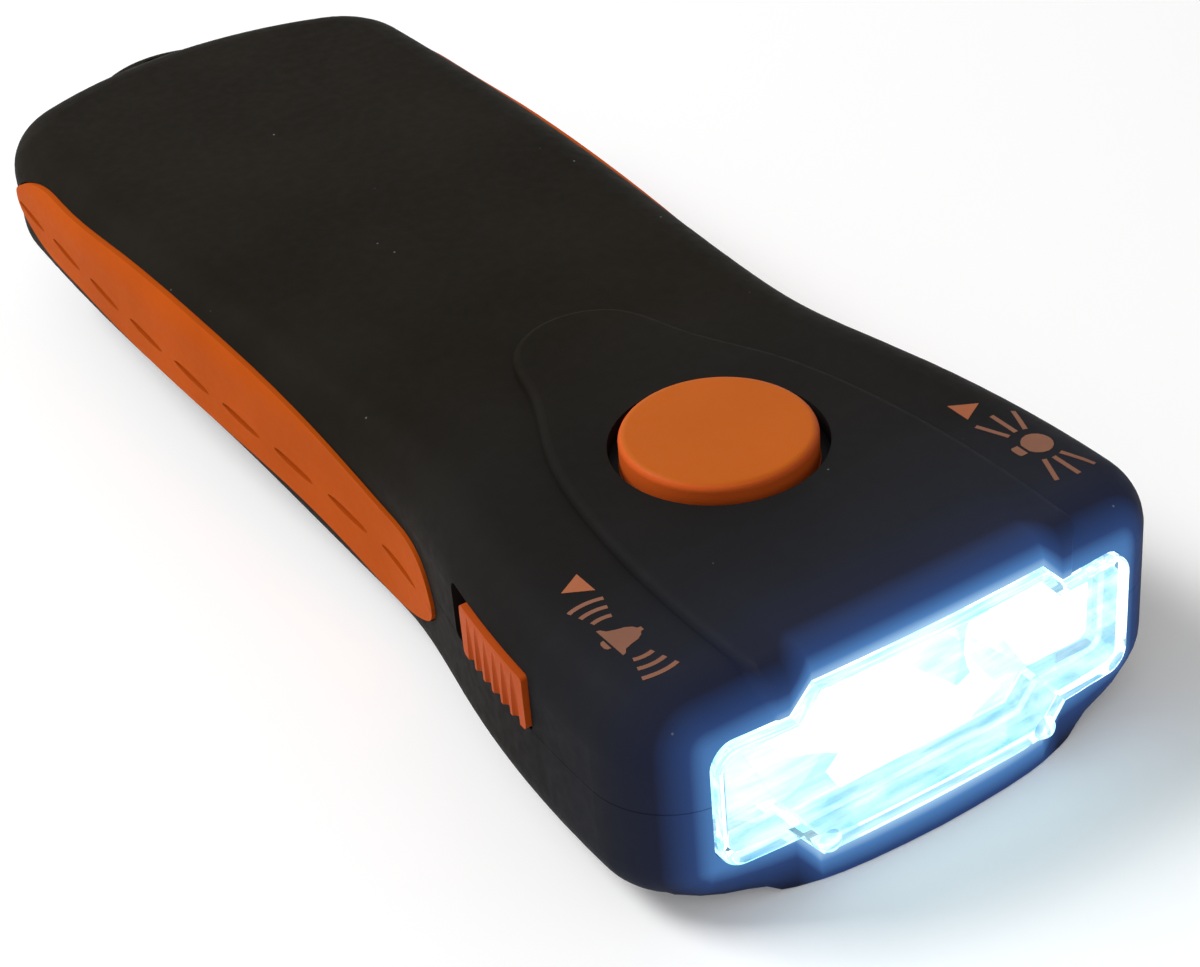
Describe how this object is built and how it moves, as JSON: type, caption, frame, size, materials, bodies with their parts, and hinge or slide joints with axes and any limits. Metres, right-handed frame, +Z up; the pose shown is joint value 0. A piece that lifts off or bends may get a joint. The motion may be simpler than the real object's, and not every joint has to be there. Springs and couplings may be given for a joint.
{
  "type": "flashlight with alarm",
  "caption": "Flat hand torch with a siren: waisted black housing with rubber side grips, wide clear lens, round push button, ribbed side sliders and a strap eyelet.",
  "frame": {"origin": "middle of the underside, at the centre of the bounding box's bottom face", "axes": "+Z up through the push button, +Y from the lens towards the strap eyelet, +X towards the torch slider"},
  "size_m": [0.0619, 0.1628, 0.027],
  "materials": {
    "shell_black": "soft-touch matte",
    "grip_orange": "matte",
    "button_orange": "matte",
    "slider_orange": "matte",
    "lens_clear": "polished clear plastic",
    "seal_black": "matte",
    "dome_grey": "matte",
    "reflector_bright": "vacuum metallised",
    "led_white": "clear epoxy",
    "board_green": "solder mask",
    "switch_black": "moulded",
    "lever_white": "moulded",
    "siren_black": "moulded",
    "disc_brass": "thin sheet",
    "pin_gold": "plated",
    "contact_steel": "nickel plated",
    "cell_wrap": "satin wrapped can",
    "screw_steel": "black zinc"
  },
  "bodies": {
    "housing": {"top_shell": "shell_black", "bottom_shell": "shell_black", "left_grip": "grip_orange", "right_grip": "grip_orange", "button_dome": "dome_grey", "tact_switch": "switch_black", "alarm_switch": "switch_black", "torch_switch": "switch_black", "main_board": "board_green", "led_board": "board_green", "led_left": "led_white", "led_centre": "led_white", "led_right": "led_white", "led_pins": "pin_gold", "reflector": "reflector_bright", "lens": "lens_clear", "lens_seal": "seal_black", "siren_holder": "siren_black", "siren_disc": "disc_brass", "siren_pins": "pin_gold", "cell_left": "cell_wrap", "cell_centre": "cell_wrap", "cell_right": "cell_wrap", "contact_plates": "contact_steel", "contact_springs": "contact_steel", "battery_strips": "contact_steel", "housing_screws": "screw_steel"},
    "button": {"push_button": "button_orange"},
    "alarm_slide": {"alarm_slider": "slider_orange", "alarm_lever": "lever_white"},
    "torch_slide": {"torch_slider": "slider_orange", "torch_lever": "lever_white"},
    "door": {"battery_door": "shell_black"}
  },
  "joints": [
    {"name": "button_press", "type": "slide", "parent": "housing", "child": "button", "axis": [0, 0, -1], "range_m": [0, 0.0012], "stiffness_N_per_m": 800, "springref_m": -0.001, "deforming": ["button_dome"]},
    {"name": "alarm_slider_travel", "type": "slide", "parent": "housing", "child": "alarm_slide", "axis": [0, 1, 0], "range_m": [0, 0.003]},
    {"name": "torch_slider_travel", "type": "slide", "parent": "housing", "child": "torch_slide", "axis": [0, 1, 0], "range_m": [-0.003, 0]},
    {"name": "battery_door_swing", "type": "hinge", "parent": "housing", "child": "door", "pos_m": [0, 0.0008, 0.00015], "axis": [-1, 0, 0], "range_deg": [0, 60]}
  ]
}
